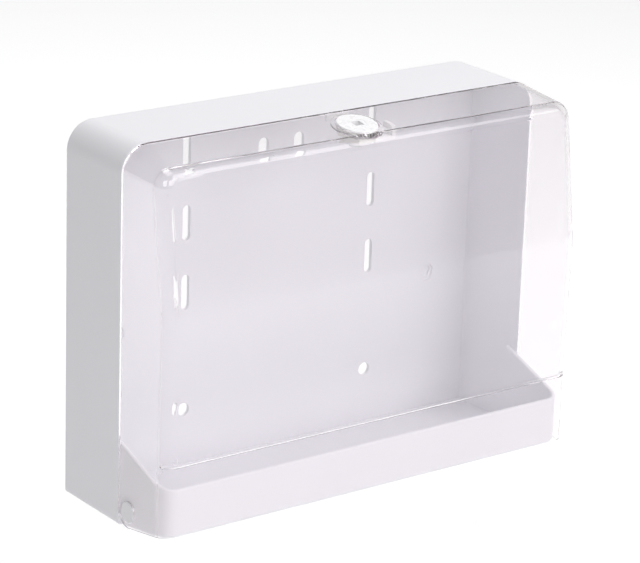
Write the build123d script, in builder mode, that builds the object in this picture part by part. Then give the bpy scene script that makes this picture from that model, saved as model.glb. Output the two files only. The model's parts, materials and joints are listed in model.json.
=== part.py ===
"""Wall-hung film and sheet dispenser: a white housing, a clear hinged cover and a key lock.

Frame: +X to the right as seen from the front, +Y into the wall, +Z up.
The origin is the centre of the housing's flat back face. Lengths are millimetres.
"""

import os
from math import asin, atan2, cos, degrees, hypot, radians, sin, tan

from build123d import *

os.makedirs("parts", exist_ok=True)

# ---- Driving dimensions ---------------------------------------------------

# Housing: an open-fronted box
width = 320.0
height = 245.0
box_depth = 62.0
wall = 2.8
top_corner_radius = 18.0
low_corner_radius = 3.0
rim_radius = 0.6
floor_z = -height / 2
top_z = height / 2

# Trough that stands forward from the foot of the box
trough_front_y = -109.3
trough_lap_y = -54.0
trough_toe_rise = 7.0
trough_corner_radius = 10.0
trough_edge_radius = 3.0
cheek_outer_x = width / 2 - wall
cheek_top_z = floor_z + 55.0
lip_z = floor_z + 38.0
lip_edge_radius = 1.2

# Outlet through the base
outlet_width = 250.0
outlet_depth = 38.0
outlet_y = -72.0
outlet_corner_radius = 10.0

# Holes in the back wall
column_x = 73.2
slot_length = 23.5
slot_width = 5.9
slot_pitch = 46.5
slot_middle_z = floor_z + 167.1
round_hole_z = floor_z + 40.5
round_hole_radius = 4.5
arch_x = 14.0
arch_width = 8.0
arch_height = 12.5
arch_foot_z = floor_z + 200.8
knockout_x = 122.9
knockout_z = floor_z + 100.9
knockout_radius = 6.0
knockout_step = 0.9
knockout_core_radius = 4.3
knockout_skin = 0.8

# Cover
seam_gap = 0.3
cover_wall = 2.5
cover_rear_y = -box_depth - seam_gap
cover_top_front_y = -102.8
cover_bend_y = -115.5
cover_bend_z = floor_z + 148.0
cover_low_y = -113.6
cover_low_z = floor_z + 55.0
cover_bottom_z = floor_z + 9.0
cover_top_slope = 9.5
cover_front_corner_radius = 11.0
cover_edge_radius = 9.0
cover_bend_radius = 40.0
groove_radius = 1.3
groove_depth = 0.6
groove_wrap = 65.0

# Hinge pins, pressed into the trough's cheeks
hinge_y = -72.5
hinge_z = floor_z + 12.5
tab_radius = cover_rear_y - hinge_y
pin_head_radius = 7.1
pin_running_gap = 0.06
pin_shank_radius = 4.5
pin_shank_gap = 0.05
pin_barb_radius = 5.1
pin_barb_length = 4.5
pin_core_radius = 2.4
pin_slit = 1.8
pin_edge = 0.5
pin_barb_taper = 12.0

# Lock: heights are measured along its tilted axis from the cover's outer top surface
lock_y = -82.5
pocket_radius = 16.6
pocket_floor = 2.5
pocket_root_depth = 2.0
recess_radius = 14.1
recess_depth = 1.2
disc_radius = 13.3
disc_top = 0.6
disc_edge_radius = 0.6
barrel_radius = 10.0
barrel_flat = 8.6
barrel_foot = -8.5
barrel_gap = 0.15
rotor_radius = 6.0
rotor_gap = 0.05
rotor_foot = -6.9
rotor_top = 0.5
rotor_end_float = 0.1
neck_radius = 4.4
tail_side = 6.0
tail_gap = 0.05
socket_side = 6.4
socket_depth = 5.0
nut_radius = 14.0
nut_thickness = 4.0
cam_top = -8.8
cam_thickness = 2.5
cam_hub_radius = 7.5
cam_width = 9.0
finger_inner_radius = 25.0
finger_outer_radius = 27.8
finger_rise = 3.6
washer_radius = 5.4
washer_thickness = 0.8
screw_radius = 1.9
screw_gap = 0.05
screw_head_radius = 4.0
screw_head_height = 2.4
screw_reach = 5.5
cross_width = 1.0
cross_length = 4.6
cross_depth = 1.4

# Keeper bonded under the housing's top rim, for the cam's finger to catch behind
keeper_width = 17.0
keeper_drop = 4.9
keeper_thickness = 2.2

# How far a cutting solid runs past the surface that it cuts
overrun = 5.0


# ---- Shared geometry ------------------------------------------------------

def top_surface_z(y):
    """Height of the cover's sloping outer top at depth y."""
    return top_z + (y - cover_rear_y) * tan(radians(cover_top_slope))


def cheek_line_z(y):
    """Height of the sloping top edge of the trough's cheeks at depth y."""
    return lip_z + (y - trough_front_y) * (cheek_top_z - lip_z) / (-box_depth - trough_front_y)


def lock_level(level):
    """Plane across the lock's axis at a height above the cover's outer top surface."""
    tilt = radians(cover_top_slope)
    surface = Plane(
        origin=(0, lock_y, top_surface_z(lock_y)),
        x_dir=(1, 0, 0),
        z_dir=(0, -sin(tilt), cos(tilt)),
    )
    return surface.offset(level)


def cover_section(y, inset, low_z):
    """Outline across the cover at depth y; its top corners are tighter towards the front."""
    forward = (cover_rear_y - y) / (cover_rear_y - cover_top_front_y)
    corner_radius = top_corner_radius + forward * (cover_front_corner_radius - top_corner_radius) - inset
    section_top_z = top_surface_z(y) - inset / cos(radians(cover_top_slope))
    with BuildSketch(Plane.XZ.offset(-y)) as section:
        with Locations((0, low_z)):
            Rectangle(width - 2 * inset, section_top_z - low_z, align=(Align.CENTER, Align.MIN))
        fillet(section.vertices().group_by(Axis.Y)[-1], corner_radius)
    return section.sketch


def cover_block(inset, rear_y, low_z):
    """Solid in the cover's outer shape, drawn in by inset on its top, front and sides."""
    front_lean = (cover_top_front_y - cover_bend_y) / (top_surface_z(cover_top_front_y) - cover_bend_z)
    head_z = top_z + overrun
    head_y = cover_bend_y + front_lean * (head_z - cover_bend_z)
    with BuildPart() as block:
        rear_section = cover_section(rear_y, inset, low_z)
        front_section = cover_section(cover_bend_y - overrun, inset, low_z)
        loft(sections=[rear_section, front_section], ruled=True)
        with BuildSketch(Plane.YZ) as outline:
            with BuildLine():
                Polyline(
                    (rear_y + 2 * overrun, head_z),
                    (head_y, head_z),
                    (cover_bend_y, cover_bend_z),
                    (cover_low_y, cover_low_z),
                    (cover_low_y, low_z - overrun),
                    (rear_y + 2 * overrun, low_z - overrun),
                    close=True,
                )
            make_face()
            fillet(outline.vertices().sort_by(Axis.X)[0], cover_bend_radius)
            if inset > 0:
                offset(amount=-inset, kind=Kind.INTERSECTION)
        extrude(amount=width, both=True, mode=Mode.INTERSECT)
        front_edges = block.edges().filter_by(
            lambda edge: edge.center().Y < cover_top_front_y + inset + seam_gap and edge.center().Z > low_z
        )
        outer_edges = front_edges.filter_by(
            lambda edge: abs(edge.center().X) > width / 4 or edge.center().Z > top_z / 2
        )
        fillet(outer_edges, cover_edge_radius - inset)
    return block.part


def trough_block(inset, rear_y, extra_height):
    """Solid in the trough's outer shape, drawn in by inset on its front, base and cheeks."""
    slope = trough_toe_rise / (-box_depth - trough_front_y)
    base_z = floor_z + inset / cos(slope)
    front_y = trough_front_y + inset
    toe_z = base_z + slope * (-box_depth - front_y)
    with BuildPart() as block:
        with BuildSketch(Plane.YZ):
            with BuildLine():
                Polyline(
                    (rear_y, cheek_line_z(rear_y) + extra_height),
                    (front_y, cheek_line_z(front_y) + extra_height),
                    (front_y, toe_z),
                    (-box_depth, base_z),
                    (rear_y, base_z),
                    close=True,
                )
            make_face()
        extrude(amount=cheek_outer_x - inset, both=True)
        corners = block.edges().filter_by(Axis.Z).group_by(Axis.Y)[0]
        fillet(corners, trough_corner_radius - inset)
        base_edges = block.edges().filter_by(
            lambda edge: edge.center().Y < -box_depth and edge.center().Z < toe_z + overrun
        )
        toe = base_edges.filter_by(lambda edge: abs(edge.center().Z - base_z) > 0.01)
        fillet(toe, trough_edge_radius)
    return block.part


def flatted_circle(gap):
    """Barrel outline with two flats, opened out by gap, drawn in the sketch that calls it."""
    Circle(barrel_radius + gap)
    Rectangle(2 * (barrel_flat + gap), 3 * barrel_radius, mode=Mode.INTERSECT)


def on_trough_rim(edge):
    """Whether an edge lies along the trough's top, on the cheeks or the front lip."""
    middle = edge.center()
    on_slope = abs(middle.Z - cheek_line_z(middle.Y)) < 0.3
    return on_slope and middle.Y < -box_depth and edge.length > wall + 1


# ---- Housing --------------------------------------------------------------

trough_outer = trough_block(0, trough_lap_y, 0)
trough_cavity = trough_block(wall, trough_lap_y + overrun, cheek_top_z - lip_z)

with BuildPart() as housing:
    with BuildSketch(Plane.XZ) as box_outline:
        Rectangle(width, height)
        fillet(box_outline.vertices().group_by(Axis.Y)[-1], top_corner_radius)
        fillet(box_outline.vertices().group_by(Axis.Y)[0], low_corner_radius)
    extrude(amount=box_depth)
    front_loop = housing.faces().sort_by(Axis.Y)[0].edges()
    fillet(front_loop.filter_by(lambda edge: edge.center().Z > cheek_top_z), rim_radius)
    with BuildSketch(Plane.XZ.offset(wall)) as box_cavity:
        Rectangle(width - 2 * wall, height - 2 * wall)
        fillet(box_cavity.vertices().group_by(Axis.Y)[-1], top_corner_radius - wall)
    extrude(amount=box_depth, mode=Mode.SUBTRACT)
    add(trough_outer)
    add(trough_cavity, mode=Mode.SUBTRACT)

    # Outlet through the base, for the sheet or film to leave by
    with BuildSketch(Plane.XY.offset(floor_z - overrun)):
        with Locations((0, outlet_y)):
            RectangleRounded(outlet_width, outlet_depth, outlet_corner_radius)
    extrude(amount=2 * overrun + trough_toe_rise, mode=Mode.SUBTRACT)

    # Screw slots, round holes and arched slots through the back wall
    with BuildSketch(Plane.XZ):
        with Locations((0, slot_middle_z)):
            with GridLocations(2 * column_x, slot_pitch, 2, 3):
                SlotOverall(slot_length, slot_width, rotation=90)
        with Locations((-column_x, round_hole_z), (column_x, round_hole_z)):
            Circle(round_hole_radius)
        with Locations((-arch_x, arch_foot_z), (arch_x, arch_foot_z)):
            Rectangle(arch_width, arch_height - arch_width / 2, align=(Align.CENTER, Align.MIN))
        arch_crown_z = arch_foot_z + arch_height - arch_width / 2
        with Locations((-arch_x, arch_crown_z), (arch_x, arch_crown_z)):
            Circle(arch_width / 2)
    extrude(amount=wall, mode=Mode.SUBTRACT)

    # Stepped blind knock-outs, for two more screws
    for radius, skin in ((knockout_radius, wall - knockout_step), (knockout_core_radius, knockout_skin)):
        with BuildSketch(Plane.XZ.offset(skin)):
            with Locations((-knockout_x, knockout_z), (knockout_x, knockout_z)):
                Circle(radius)
        extrude(amount=wall - skin, mode=Mode.SUBTRACT)

    # Holes for the hinge pins, through both cheeks
    with BuildSketch(Plane.YZ.offset(-width / 2 - overrun)):
        with Locations((hinge_y, hinge_z)):
            Circle(pin_shank_radius + pin_shank_gap)
    extrude(amount=width + 2 * overrun, mode=Mode.SUBTRACT)

    # Rounded lip and cheek tops
    lip_edges = housing.edges().filter_by(on_trough_rim)
    fillet(lip_edges, lip_edge_radius)


# ---- Clear cover ----------------------------------------------------------

cover_outer = cover_block(0, cover_rear_y, floor_z - overrun)
cover_cavity = cover_block(cover_wall, cover_rear_y + 2 * overrun, floor_z - 2 * overrun)

with BuildPart() as front_cover:
    add(cover_outer)
    add(cover_cavity, mode=Mode.SUBTRACT)

    # Round pocket under the sloping top, with a shallow recess above it for the lock's disc
    pocket_foot = -recess_depth - pocket_floor
    with BuildSketch(lock_level(pocket_foot)):
        Circle(pocket_radius)
    extrude(amount=-pocket_foot - pocket_root_depth)
    with BuildSketch(lock_level(-recess_depth)):
        Circle(recess_radius)
    extrude(amount=recess_depth + overrun, mode=Mode.SUBTRACT)
    with BuildSketch(lock_level(pocket_foot)):
        flatted_circle(barrel_gap)
    extrude(amount=pocket_floor, mode=Mode.SUBTRACT)

    # Side outline: straight rear edge, round hinge tab and rising lower edge
    reach = hypot(hinge_y - cover_low_y, hinge_z - cover_bottom_z)
    rise_angle = degrees(atan2(hinge_z - cover_bottom_z, hinge_y - cover_low_y))
    lower_edge_angle = rise_angle - degrees(asin(tab_radius / reach))
    tab_end_angle = lower_edge_angle - 90
    with BuildSketch(Plane.YZ):
        with BuildLine():
            tab = CenterArc((hinge_y, hinge_z), tab_radius, tab_end_angle, -tab_end_angle)
            Polyline(
                tab @ 1,
                (cover_rear_y, top_z + overrun),
                (cover_low_y - overrun, top_z + overrun),
                (cover_low_y - overrun, cover_bottom_z),
                (cover_low_y, cover_bottom_z),
                tab @ 0,
            )
        make_face()
    extrude(amount=width, both=True, mode=Mode.INTERSECT)

    # Hinge holes
    with BuildSketch(Plane.YZ.offset(-width / 2 - overrun)):
        with Locations((hinge_y, hinge_z)):
            Circle(pin_head_radius + pin_running_gap)
    extrude(amount=width + 2 * overrun, mode=Mode.SUBTRACT)

    # Groove across the front, wrapping part of the way round both corners
    track_radius = cover_edge_radius + groove_radius - groove_depth
    corner_x = width / 2 - cover_edge_radius
    corner_y = cover_low_y + cover_edge_radius
    with BuildLine(Plane.XY.offset(cover_low_z)) as groove:
        CenterArc((-corner_x, corner_y), track_radius, 270 - groove_wrap, groove_wrap)
        Line((-corner_x, corner_y - track_radius), (corner_x, corner_y - track_radius))
        CenterArc((corner_x, corner_y), track_radius, 270, groove_wrap)
    groove_path = groove.wire()
    with BuildSketch(Plane(origin=groove_path @ 0, z_dir=groove_path % 0)):
        Circle(groove_radius)
    sweep(path=groove_path, mode=Mode.SUBTRACT)
    with Locations(groove_path @ 0, groove_path @ 1):
        Sphere(groove_radius, mode=Mode.SUBTRACT)


# ---- Hinge pins -----------------------------------------------------------

def hinge_pin(side):
    """Push-in pin: a flush head that the cover turns on, and a split barbed shank in the cheek."""
    head_length = width / 2 - cheek_outer_x
    base = Plane(origin=(side * cheek_outer_x, hinge_y, hinge_z), x_dir=(0, 1, 0), z_dir=(side, 0, 0))
    with BuildPart() as pin:
        with BuildSketch(base):
            Circle(pin_head_radius)
        extrude(amount=head_length)
        crown = pin.edges().filter_by(lambda edge: abs(edge.center().X) > width / 2 - 0.01)
        chamfer(crown, pin_edge)
        with BuildSketch(base):
            Circle(pin_shank_radius)
        extrude(amount=-wall - pin_barb_length)
        with BuildSketch(base.offset(-wall - pin_shank_gap)):
            Circle(pin_barb_radius)
        extrude(amount=-pin_barb_length + pin_shank_gap, taper=pin_barb_taper)
        with BuildSketch(base.offset(-wall - pin_barb_length)):
            Circle(pin_core_radius)
            Rectangle(pin_slit, 3 * pin_barb_radius)
        extrude(amount=pin_barb_length + wall / 2, mode=Mode.SUBTRACT)
    return pin.part


hinge_pin_left = hinge_pin(-1)
hinge_pin_right = hinge_pin(1)


# ---- Lock -----------------------------------------------------------------

with BuildPart() as lock_keeper:
    with BuildSketch(Plane.XY.offset(top_z - wall - keeper_drop)):
        with Locations((0, -box_depth)):
            Rectangle(keeper_width, keeper_thickness, align=(Align.CENTER, Align.MIN))
    extrude(amount=keeper_drop)
    keeper_foot = lock_keeper.faces().sort_by(Axis.Z)[0].edges()
    fillet(keeper_foot, rim_radius)

with BuildPart() as lock_body:
    with BuildSketch(lock_level(-recess_depth)):
        Circle(disc_radius)
    extrude(amount=disc_top + recess_depth)
    disc_edge = lock_body.faces().sort_by(Axis.Z)[-1].edges()
    fillet(disc_edge, disc_edge_radius)
    with BuildSketch(lock_level(barrel_foot)):
        flatted_circle(0)
    extrude(amount=-recess_depth - barrel_foot)
    with BuildSketch(lock_level(rotor_foot - rotor_end_float)):
        Circle(rotor_radius + rotor_gap)
    extrude(amount=disc_top - rotor_foot + rotor_end_float, mode=Mode.SUBTRACT)
    with BuildSketch(lock_level(barrel_foot)):
        Circle(neck_radius + rotor_gap)
    extrude(amount=rotor_foot - barrel_foot, mode=Mode.SUBTRACT)

with BuildPart() as lock_rotor:
    with BuildSketch(lock_level(rotor_foot)):
        Circle(rotor_radius)
    extrude(amount=rotor_top - rotor_foot)
    with BuildSketch(lock_level(cam_top)):
        Circle(neck_radius)
    extrude(amount=rotor_foot - cam_top)
    with BuildSketch(lock_level(cam_top - cam_thickness)):
        Rectangle(tail_side, tail_side)
    extrude(amount=cam_thickness)
    with BuildSketch(lock_level(rotor_top - socket_depth)):
        RectangleRounded(socket_side, socket_side, rim_radius)
    extrude(amount=socket_depth, mode=Mode.SUBTRACT)
    with BuildSketch(lock_level(cam_top - cam_thickness)):
        Circle(screw_radius + screw_gap)
    extrude(amount=screw_reach, mode=Mode.SUBTRACT)

with BuildPart() as lock_nut:
    with BuildSketch(lock_level(pocket_foot - nut_thickness)):
        RegularPolygon(nut_radius, 6)
        Circle(barrel_radius + rotor_gap, mode=Mode.SUBTRACT)
    extrude(amount=nut_thickness)

with BuildPart() as lock_cam:
    with BuildSketch(lock_level(cam_top - cam_thickness)):
        Circle(cam_hub_radius)
        Rectangle(finger_outer_radius, cam_width, align=(Align.MIN, Align.CENTER))
        Circle(finger_outer_radius, mode=Mode.INTERSECT)
        Rectangle(tail_side + 2 * tail_gap, tail_side + 2 * tail_gap, mode=Mode.SUBTRACT)
    extrude(amount=cam_thickness)
    with BuildSketch(lock_level(cam_top)):
        Rectangle(finger_outer_radius, cam_width, align=(Align.MIN, Align.CENTER))
        Circle(finger_outer_radius, mode=Mode.INTERSECT)
        Circle(finger_inner_radius, mode=Mode.SUBTRACT)
    extrude(amount=finger_rise)

washer_top = cam_top - cam_thickness
with BuildPart() as cam_washer:
    with BuildSketch(lock_level(washer_top - washer_thickness)):
        Circle(washer_radius)
        Circle(screw_radius + screw_gap, mode=Mode.SUBTRACT)
    extrude(amount=washer_thickness)

head_top = washer_top - washer_thickness
with BuildPart() as cam_screw:
    with BuildSketch(lock_level(head_top - screw_head_height)):
        Circle(screw_head_radius)
    extrude(amount=screw_head_height)
    head_edge = cam_screw.faces().sort_by(Axis.Z)[0].edges()
    fillet(head_edge, rim_radius)
    with BuildSketch(lock_level(head_top)):
        Circle(screw_radius)
    extrude(amount=washer_thickness + screw_reach - cross_depth)
    with BuildSketch(lock_level(head_top - screw_head_height)):
        Rectangle(cross_length, cross_width)
        Rectangle(cross_width, cross_length)
    extrude(amount=cross_depth, mode=Mode.SUBTRACT)


# ---- Files ----------------------------------------------------------------

pieces = {
    "housing": housing.part,
    "front_cover": front_cover.part,
    "hinge_pin_left": hinge_pin_left,
    "hinge_pin_right": hinge_pin_right,
    "lock_keeper": lock_keeper.part,
    "lock_body": lock_body.part,
    "lock_rotor": lock_rotor.part,
    "lock_nut": lock_nut.part,
    "lock_cam": lock_cam.part,
    "cam_washer": cam_washer.part,
    "cam_screw": cam_screw.part,
}
for name, piece in pieces.items():
    piece.label = name
    export_step(piece, f"parts/{name}.step")
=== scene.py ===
"""Wall-hung film and sheet dispenser: finishes for the housing, clear cover, hinge pins and lock.

Frame: +X to the right as seen from the front, +Y into the wall, +Z up. Lengths are metres.
The origin is the centre of the housing's flat back face.
"""

import json
import logging
from dataclasses import dataclass, field
from enum import Enum
from math import cos, radians, sin

import bpy
from mathutils import Matrix, Vector

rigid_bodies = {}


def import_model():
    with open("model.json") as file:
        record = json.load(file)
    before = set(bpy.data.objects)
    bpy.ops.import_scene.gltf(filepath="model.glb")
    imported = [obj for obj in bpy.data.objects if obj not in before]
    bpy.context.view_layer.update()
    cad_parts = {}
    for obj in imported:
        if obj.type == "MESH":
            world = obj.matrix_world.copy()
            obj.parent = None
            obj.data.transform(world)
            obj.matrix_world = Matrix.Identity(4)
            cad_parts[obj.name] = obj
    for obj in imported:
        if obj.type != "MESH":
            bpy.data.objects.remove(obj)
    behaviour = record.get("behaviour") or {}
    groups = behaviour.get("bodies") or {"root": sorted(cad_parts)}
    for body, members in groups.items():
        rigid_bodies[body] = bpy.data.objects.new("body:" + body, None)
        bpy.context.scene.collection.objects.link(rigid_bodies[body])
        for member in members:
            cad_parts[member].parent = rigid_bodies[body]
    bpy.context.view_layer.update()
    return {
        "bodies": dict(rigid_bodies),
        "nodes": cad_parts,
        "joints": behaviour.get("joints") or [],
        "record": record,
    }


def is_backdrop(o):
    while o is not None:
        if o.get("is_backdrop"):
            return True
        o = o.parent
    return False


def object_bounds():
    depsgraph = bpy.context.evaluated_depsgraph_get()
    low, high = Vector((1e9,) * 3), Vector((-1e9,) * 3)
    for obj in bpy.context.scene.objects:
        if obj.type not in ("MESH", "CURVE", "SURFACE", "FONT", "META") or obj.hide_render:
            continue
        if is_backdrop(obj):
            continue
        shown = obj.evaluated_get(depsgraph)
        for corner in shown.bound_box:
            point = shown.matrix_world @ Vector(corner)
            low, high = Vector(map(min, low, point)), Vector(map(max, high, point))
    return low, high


Colour = tuple[float, float, float]
Triple = tuple[float, float, float]

# Sockets of a Mix node that is set to mix colours
MIX_DARK, MIX_LIGHT, MIX_RESULT = 6, 7, 2

# Most of a noise factor lies between these two
NOISE_LOW, NOISE_HIGH = 0.3, 0.7

log = logging.getLogger("film_dispenser")


class RayKind(Enum):
    """Kinds of ray that a material may treat apart, by their output on the Light Path node."""

    LAMP = "Is Shadow Ray"
    BOUNCE = "Is Diffuse Ray"


class NodeTree:
    """A material's node tree, with short calls that add and join its nodes."""

    def __init__(self, name: str) -> None:
        """Makes the material and empties its tree.

        Args:
            name: The material's name.
        """
        self.material = bpy.data.materials.new(name)
        self.material.use_nodes = True
        self.tree = self.material.node_tree
        self.tree.nodes.clear()
        self.output = self.tree.nodes.new("ShaderNodeOutputMaterial")

    def add(self, kind: str, **settings: object) -> bpy.types.Node:
        """Adds a node and sets its properties.

        Args:
            kind: The node's type name.
            settings: Property names and values.

        Returns:
            The new node.
        """
        node = self.tree.nodes.new(kind)
        for key, value in settings.items():
            setattr(node, key, value)
        return node

    def join(self, source: bpy.types.NodeSocket, target: bpy.types.NodeSocket) -> None:
        """Links one socket to another."""
        self.tree.links.new(source, target)

    def noise(self, scale: float, detail: float = 2.0, stretch: Triple = (1, 1, 1)) -> bpy.types.NodeSocket:
        """Adds a noise pattern on the piece's own coordinates.

        Args:
            scale: Features per metre.
            detail: How many finer layers it has.
            stretch: Scale of the pattern along each axis.

        Returns:
            The noise factor's socket.
        """
        where = self.add("ShaderNodeTexCoord")
        placed = self.add("ShaderNodeMapping")
        placed.inputs["Scale"].default_value = stretch
        self.join(where.outputs["Object"], placed.inputs["Vector"])
        texture = self.add("ShaderNodeTexNoise")
        texture.inputs["Scale"].default_value = scale
        texture.inputs["Detail"].default_value = detail
        self.join(placed.outputs["Vector"], texture.inputs["Vector"])
        return texture.outputs["Fac"]

    def spread(self, source: bpy.types.NodeSocket, low: float, high: float) -> bpy.types.NodeSocket:
        """Maps the middle of a noise factor to a range.

        Args:
            source: The factor's socket.
            low: Value where the factor is NOISE_LOW or less.
            high: Value where the factor is NOISE_HIGH or more.

        Returns:
            The mapped value's socket.
        """
        node = self.add("ShaderNodeMapRange")
        node.inputs["From Min"].default_value = NOISE_LOW
        node.inputs["From Max"].default_value = NOISE_HIGH
        node.inputs["To Min"].default_value = low
        node.inputs["To Max"].default_value = high
        self.join(source, node.inputs["Value"])
        return node.outputs["Result"]

    def tint(self, source: bpy.types.NodeSocket, dark: Colour, light: Colour) -> bpy.types.NodeSocket:
        """Mixes two colours by a factor.

        Args:
            source: The factor's socket.
            dark: Colour at a factor of 0.
            light: Colour at a factor of 1.

        Returns:
            The mixed colour's socket.
        """
        node = self.add("ShaderNodeMix", data_type="RGBA")
        node.inputs[MIX_DARK].default_value = (*dark, 1)
        node.inputs[MIX_LIGHT].default_value = (*light, 1)
        self.join(source, node.inputs["Factor"])
        return node.outputs[MIX_RESULT]

    def bumps(self, layers: list[tuple[bpy.types.NodeSocket, float]]) -> bpy.types.NodeSocket:
        """Stacks bump layers.

        Args:
            layers: Pairs of a height's socket and its depth in metres.

        Returns:
            The normal's socket.
        """
        normal = None
        for height, depth in layers:
            node = self.add("ShaderNodeBump")
            node.inputs["Distance"].default_value = depth
            self.join(height, node.inputs["Height"])
            if normal is not None:
                self.join(normal, node.inputs["Normal"])
            normal = node.outputs["Normal"]
        return normal


@dataclass(frozen=True)
class MouldedPlastic:
    """Opaque moulded plastic with flow marks, orange peel and a fine spark-eroded grain."""

    name: str
    colour: Colour
    roughness: float = 0.34
    roughness_change: float = 0.03
    index: float = 1.5
    flow_change: float = 0.012
    flow_stretch: Triple = (1, 1, 0.45)
    peel_depth: float = 0.000007
    grain_depth: float = 0.000004
    flow_scale: float = 9.0
    peel_scale: float = 260.0
    grain_scale: float = 2600.0

    def material(self) -> bpy.types.Material:
        """Returns the finish as a material."""
        made = NodeTree(self.name)
        flow = made.noise(self.flow_scale, 3.0, self.flow_stretch)
        peel = made.noise(self.peel_scale, 2.0)
        grain = made.noise(self.grain_scale, 1.0)
        shader = made.add("ShaderNodeBsdfPrincipled")
        dark = tuple(c * (1 - self.flow_change) for c in self.colour)
        light = tuple(min(1.0, c * (1 + self.flow_change)) for c in self.colour)
        share = made.spread(flow, 0.0, 1.0)
        made.join(made.tint(share, dark, light), shader.inputs["Base Color"])
        smoothest = self.roughness - self.roughness_change
        gloss = made.spread(peel, smoothest, self.roughness + self.roughness_change)
        made.join(gloss, shader.inputs["Roughness"])
        normal = made.bumps([(peel, self.peel_depth), (grain, self.grain_depth)])
        made.join(normal, shader.inputs["Normal"])
        shader.inputs["IOR"].default_value = self.index
        made.join(shader.outputs["BSDF"], made.output.inputs["Surface"])
        return made.material


@dataclass(frozen=True)
class ClearPlastic:
    """Clear moulded plastic: bends and mirrors light, with faint ripples from its mould.

    Its skin tints what is seen through it by colour, its body by body_colour and body_density, and
    the rays that pass straight through take lamp_colour.
    """

    name: str
    colour: Colour
    lamp_colour: Colour
    body_colour: Colour
    body_density: float
    roughness: float = 0.015
    roughness_change: float = 0.01
    index: float = 1.57
    ripple_scale: float = 24.0
    ripple_stretch: Triple = (1, 1, 0.6)
    ripple_depth: float = 0.00004
    passed: tuple[RayKind, ...] = (RayKind.LAMP, RayKind.BOUNCE)

    def material(self) -> bpy.types.Material:
        """Returns the finish as a material."""
        made = NodeTree(self.name)
        shader = made.add("ShaderNodeBsdfPrincipled")
        shader.inputs["Base Color"].default_value = (*self.colour, 1)
        shader.inputs["Transmission Weight"].default_value = 1.0
        shader.inputs["IOR"].default_value = self.index
        ripple = made.noise(self.ripple_scale, 1.0, self.ripple_stretch)
        gloss = made.spread(ripple, self.roughness, self.roughness + self.roughness_change)
        made.join(gloss, shader.inputs["Roughness"])
        made.join(made.bumps([(ripple, self.ripple_depth)]), shader.inputs["Normal"])
        through = made.add("ShaderNodeBsdfTransparent")
        through.inputs["Color"].default_value = (*self.lamp_colour, 1)
        path = made.add("ShaderNodeLightPath")
        share = path.outputs[self.passed[0].value]
        for kind in self.passed[1:]:
            either = made.add("ShaderNodeMath", operation="MAXIMUM")
            made.join(share, either.inputs[0])
            made.join(path.outputs[kind.value], either.inputs[1])
            share = either.outputs[0]
        mix = made.add("ShaderNodeMixShader")
        made.join(share, mix.inputs["Fac"])
        made.join(shader.outputs["BSDF"], mix.inputs[1])
        made.join(through.outputs["BSDF"], mix.inputs[2])
        made.join(mix.outputs["Shader"], made.output.inputs["Surface"])
        body = made.add("ShaderNodeVolumeAbsorption")
        body.inputs["Color"].default_value = (*self.body_colour, 1)
        body.inputs["Density"].default_value = self.body_density
        made.join(body.outputs["Volume"], made.output.inputs["Volume"])
        return made.material


@dataclass(frozen=True)
class PlatedSteel:
    """Zinc-plated steel with a crystalline mottle and light handling scratches."""

    name: str
    colour: Colour
    dark_share: float = 0.86
    roughness: float = 0.3
    roughness_change: float = 0.14
    mottle_scale: float = 700.0
    scratch_scale: float = 900.0
    scratch_stretch: Triple = (0.08, 1, 1)
    scratch_depth: float = 0.000008

    def material(self) -> bpy.types.Material:
        """Returns the finish as a material."""
        made = NodeTree(self.name)
        mottle = made.noise(self.mottle_scale, 3.0)
        scratch = made.noise(self.scratch_scale, 2.0, self.scratch_stretch)
        shader = made.add("ShaderNodeBsdfPrincipled")
        shader.inputs["Metallic"].default_value = 1.0
        dark = tuple(c * self.dark_share for c in self.colour)
        made.join(made.tint(made.spread(mottle, 0, 1), dark, self.colour), shader.inputs["Base Color"])
        gloss = made.spread(mottle, self.roughness, self.roughness + self.roughness_change)
        made.join(gloss, shader.inputs["Roughness"])
        made.join(made.bumps([(scratch, self.scratch_depth)]), shader.inputs["Normal"])
        made.join(shader.outputs["BSDF"], made.output.inputs["Surface"])
        return made.material


WHITE = (0.86, 0.852, 0.886)
HOUSING_WHITE = MouldedPlastic("housing_white", WHITE)
PIN_WHITE = MouldedPlastic("pin_white", (0.85, 0.843, 0.87), roughness=0.3)
LOCK_WHITE = MouldedPlastic(
    "lock_white", (0.9, 0.895, 0.91), roughness=0.28, peel_depth=0.000001, grain_depth=0.000001
)
NUT_NATURAL = MouldedPlastic("nut_natural", (0.78, 0.77, 0.75), roughness=0.4)
ZINC_STEEL = PlatedSteel("zinc_steel", (0.66, 0.67, 0.68))
COVER_CLEAR = ClearPlastic(
    "cover_clear",
    colour=(0.962, 0.945, 0.956),
    lamp_colour=(0.982, 0.974, 0.98),
    body_colour=(0.83, 0.77, 0.81),
    body_density=12.0,
)


def dress(frame: dict, node: str, material: bpy.types.Material) -> None:
    """Gives a carried-over node its material.

    Args:
        node: The node's name.
        material: The material for every slot that it has.
    """
    for slot in frame["nodes"][node].material_slots:
        slot.material = material
    log.info("%s: %s", node, material.name)


@dataclass
class Housing:
    """White open-fronted box with its trough, and the two pins pressed into the trough's cheeks."""

    shell: str = "housing"
    pins: tuple[str, ...] = ("hinge_pin_left", "hinge_pin_right")
    shell_finish: MouldedPlastic = HOUSING_WHITE
    pin_finish: MouldedPlastic = PIN_WHITE

    def build(self, frame: dict) -> None:
        """Dresses the housing and its pins."""
        dress(frame, self.shell, self.shell_finish.material())
        pin_material = self.pin_finish.material()
        for pin in self.pins:
            dress(frame, pin, pin_material)


@dataclass
class Cover:
    """Clear hinged cover."""

    shell: str = "front_cover"
    finish: ClearPlastic = COVER_CLEAR

    def build(self, frame: dict) -> None:
        """Dresses the cover."""
        dress(frame, self.shell, self.finish.material())


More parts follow.
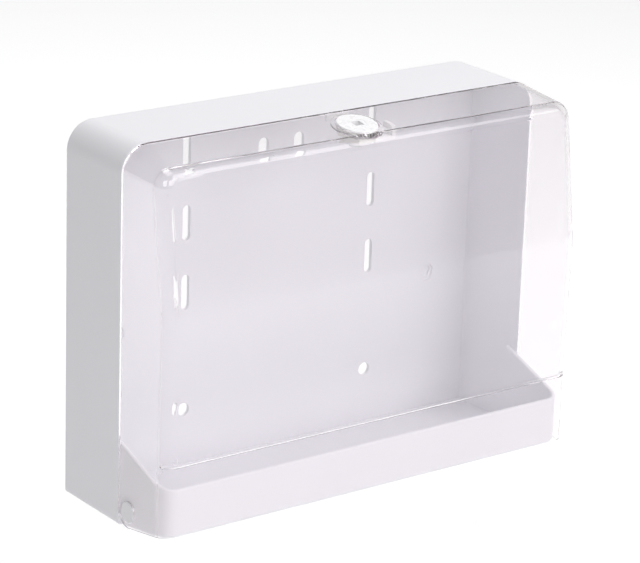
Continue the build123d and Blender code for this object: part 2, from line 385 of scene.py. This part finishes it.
@dataclass
class Lock:
    """Square-key lock: body, nut and keeper that stay put, and the rotor with its cam, washer and screw."""

    plastic: tuple[str, ...] = ("lock_body", "lock_rotor", "lock_cam", "lock_keeper")
    nut: str = "lock_nut"
    steel: tuple[str, ...] = ("cam_washer", "cam_screw")

    def build(self, frame: dict) -> None:
        """Dresses the lock's pieces."""
        white = LOCK_WHITE.material()
        for node in self.plastic:
            dress(frame, node, white)
        dress(frame, self.nut, NUT_NATURAL.material())
        steel = ZINC_STEEL.material()
        for node in self.steel:
            dress(frame, node, steel)


@dataclass
class Softbox:
    """A square or oblong lamp with an even face, aimed at the object."""

    name: str
    place: Triple
    size: tuple[float, float]
    power: float
    aim: Triple = (0.0, -0.06, 0.0)
    colour: Colour = (1.0, 1.0, 1.0)

    def build(self) -> None:
        """Adds the lamp."""
        data = bpy.data.lights.new(self.name, "AREA")
        data.shape = "RECTANGLE"
        data.size, data.size_y = self.size
        data.energy = self.power
        data.color = self.colour
        lamp = bpy.data.objects.new(self.name, data)
        bpy.context.scene.collection.objects.link(lamp)
        lamp.location = self.place
        lamp.rotation_mode = "QUATERNION"
        lamp.rotation_quaternion = (Vector(self.aim) - Vector(self.place)).to_track_quat("-Z", "Y")


@dataclass
class Studio:
    """White surround, pale floor, soft lamps and the camera.

    The surround glows by surround_base all round, and by right_glow more towards +X. The floor's own
    glow keeps it white where it is seen, and lights nothing.
    """

    floor_side: float = 24.0
    hinge_drop: float = 0.07
    floor_colour: Colour = (0.9, 0.9, 0.905)
    floor_roughness: float = 0.9
    floor_glow: float = 0.29
    surround_base: float = 0.28
    right_glow: float = 0.92
    bounces: int = 72
    camera_azimuth: float = -36.73
    camera_elevation: float = 18.63
    camera_roll: float = 1.884
    camera_distance: float = 1.936
    camera_lens: float = 169.9
    camera_sensor: float = 36.0
    camera_clip: tuple[float, float] = (0.1, 100.0)
    camera_target: Triple = (0.0, -0.0494, 0.0061)
    lamps: list[Softbox] = field(
        default_factory=lambda: [
            Softbox("front_softbox", (0.45, -2.1, 0.75), (1.4, 1.0), 10.8),
            Softbox("right_softbox", (1.1, -1.5, 1.5), (1.1, 1.1), 7.2),
            Softbox("left_softbox", (-1.3, -1.8, 1.1), (1.2, 1.2), 11.6),
            Softbox("high_softbox", (0.1, -0.5, 2.4), (1.4, 1.4), 11.2),
            Softbox("top_softbox", (0.1, 0.9, 2.2), (1.2, 1.2), 17.5),
        ]
    )

    def build(self) -> None:
        """Builds the floor, the surround, the lamps and the camera."""
        self.floor()
        self.surround()
        for lamp in self.lamps:
            lamp.build()
        self.camera()
        self.light_paths()

    def light_paths(self) -> None:
        """Leaves the colours plain, and lets light run far along inside the clear walls."""
        scene = bpy.context.scene
        scene.view_settings.view_transform = "Standard"
        scene.cycles.max_bounces = self.bounces
        scene.cycles.glossy_bounces = self.bounces
        scene.cycles.transmission_bounces = self.bounces

    def floor(self) -> None:
        """Adds the floor, far enough below the housing for the cover to hang open above it."""
        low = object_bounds()[0].z - self.hinge_drop
        bpy.ops.object.select_all(action="DESELECT")
        bpy.ops.mesh.primitive_plane_add(size=self.floor_side, location=(0, 0, low))
        floor = bpy.context.object
        floor.name = "studio_floor"
        made = NodeTree("floor_paper")
        shader = made.add("ShaderNodeBsdfPrincipled")
        shader.inputs["Base Color"].default_value = (*self.floor_colour, 1)
        shader.inputs["Roughness"].default_value = self.floor_roughness
        shader.inputs["Emission Color"].default_value = (1, 1, 1, 1)
        path = made.add("ShaderNodeLightPath")
        seen_glow = made.add("ShaderNodeMath", operation="MULTIPLY_ADD")
        seen_glow.inputs[1].default_value = -self.floor_glow
        seen_glow.inputs[2].default_value = self.floor_glow
        made.join(path.outputs[RayKind.BOUNCE.value], seen_glow.inputs[0])
        made.join(seen_glow.outputs[0], shader.inputs["Emission Strength"])
        made.join(shader.outputs["BSDF"], made.output.inputs["Surface"])
        floor.data.materials.append(made.material)
        floor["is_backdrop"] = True

    def surround(self) -> None:
        """Lights the scene from all round, and more from the right."""
        world = bpy.data.worlds.new("studio_surround")
        bpy.context.scene.world = world
        world.use_nodes = True
        tree = world.node_tree
        tree.nodes.clear()
        where = tree.nodes.new("ShaderNodeTexCoord")
        parts = tree.nodes.new("ShaderNodeSeparateXYZ")
        rightward = tree.nodes.new("ShaderNodeMath")
        rightward.operation = "MAXIMUM"
        rightward.inputs[1].default_value = 0.0
        strength = tree.nodes.new("ShaderNodeMath")
        strength.operation = "MULTIPLY_ADD"
        strength.inputs[1].default_value = self.right_glow
        strength.inputs[2].default_value = self.surround_base
        glow = tree.nodes.new("ShaderNodeBackground")
        out = tree.nodes.new("ShaderNodeOutputWorld")
        tree.links.new(where.outputs["Generated"], parts.inputs["Vector"])
        tree.links.new(parts.outputs["X"], rightward.inputs[0])
        tree.links.new(rightward.outputs[0], strength.inputs[0])
        tree.links.new(strength.outputs[0], glow.inputs["Strength"])
        tree.links.new(glow.outputs["Background"], out.inputs["Surface"])

    def camera(self) -> None:
        """Adds the camera and makes it the scene's."""
        azimuth, elevation, roll = map(
            radians, (self.camera_azimuth, self.camera_elevation, self.camera_roll)
        )
        back = Vector((sin(azimuth) * cos(elevation), -cos(azimuth) * cos(elevation), sin(elevation)))
        level_right = (-back).cross(Vector((0, 0, 1))).normalized()
        level_up = level_right.cross(-back)
        right = cos(roll) * level_right + sin(roll) * level_up
        up = cos(roll) * level_up - sin(roll) * level_right
        data = bpy.data.cameras.new("studio_camera")
        data.lens = self.camera_lens
        data.sensor_width = self.camera_sensor
        data.clip_start, data.clip_end = self.camera_clip
        camera = bpy.data.objects.new("studio_camera", data)
        bpy.context.scene.collection.objects.link(camera)
        place = Vector(self.camera_target) + self.camera_distance * back
        turn = Matrix((right, up, back)).transposed().to_4x4()
        camera.matrix_world = Matrix.Translation(place) @ turn
        bpy.context.scene.camera = camera


def main() -> None:
    """Builds every sub-assembly and the studio."""
    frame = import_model()
    Studio().build()
    for assembly in (Housing(), Cover(), Lock()):
        assembly.build(frame)
        log.info("%s done", type(assembly).__name__)


if __name__ == "__main__":
    logging.basicConfig(level=logging.INFO, format="%(name)s: %(message)s")
    main()
